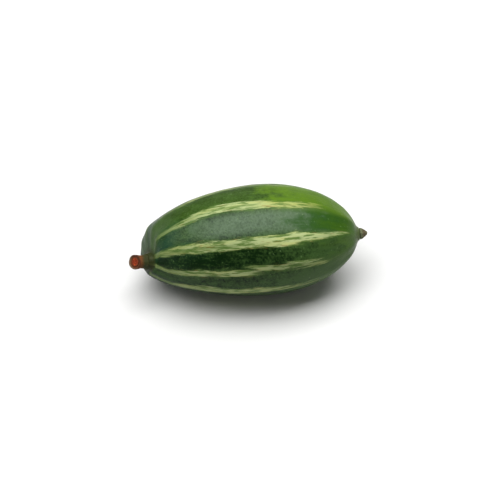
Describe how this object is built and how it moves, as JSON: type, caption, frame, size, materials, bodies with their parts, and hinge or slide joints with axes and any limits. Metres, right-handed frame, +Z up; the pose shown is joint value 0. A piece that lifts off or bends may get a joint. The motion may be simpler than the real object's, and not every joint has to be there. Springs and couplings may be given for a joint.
{
  "type": "pointed gourd",
  "caption": "Freshly picked pointed gourd lying on its side: a plump striped green spindle with a cut stem stub and a dry blossom tip.",
  "frame": {"origin": "centre of the flat spot on the underside that the fruit rests on, under its centre of mass", "axes": "+X along the fruit's long axis, from the stem end to the blossom end; +Y away from the side that the stem stub leans to; +Z up"},
  "size_m": [0.085, 0.0398, 0.0396],
  "materials": {
    "striped_skin": null,
    "cork": "dull fibrous green-brown stalk, with orange-red pith in the cut",
    "dry_blossom": null
  },
  "bodies": {
    "root": {"fruit": "striped_skin", "stem_stub": "cork", "blossom_tip": "dry_blossom"}
  },
  "joints": []
}
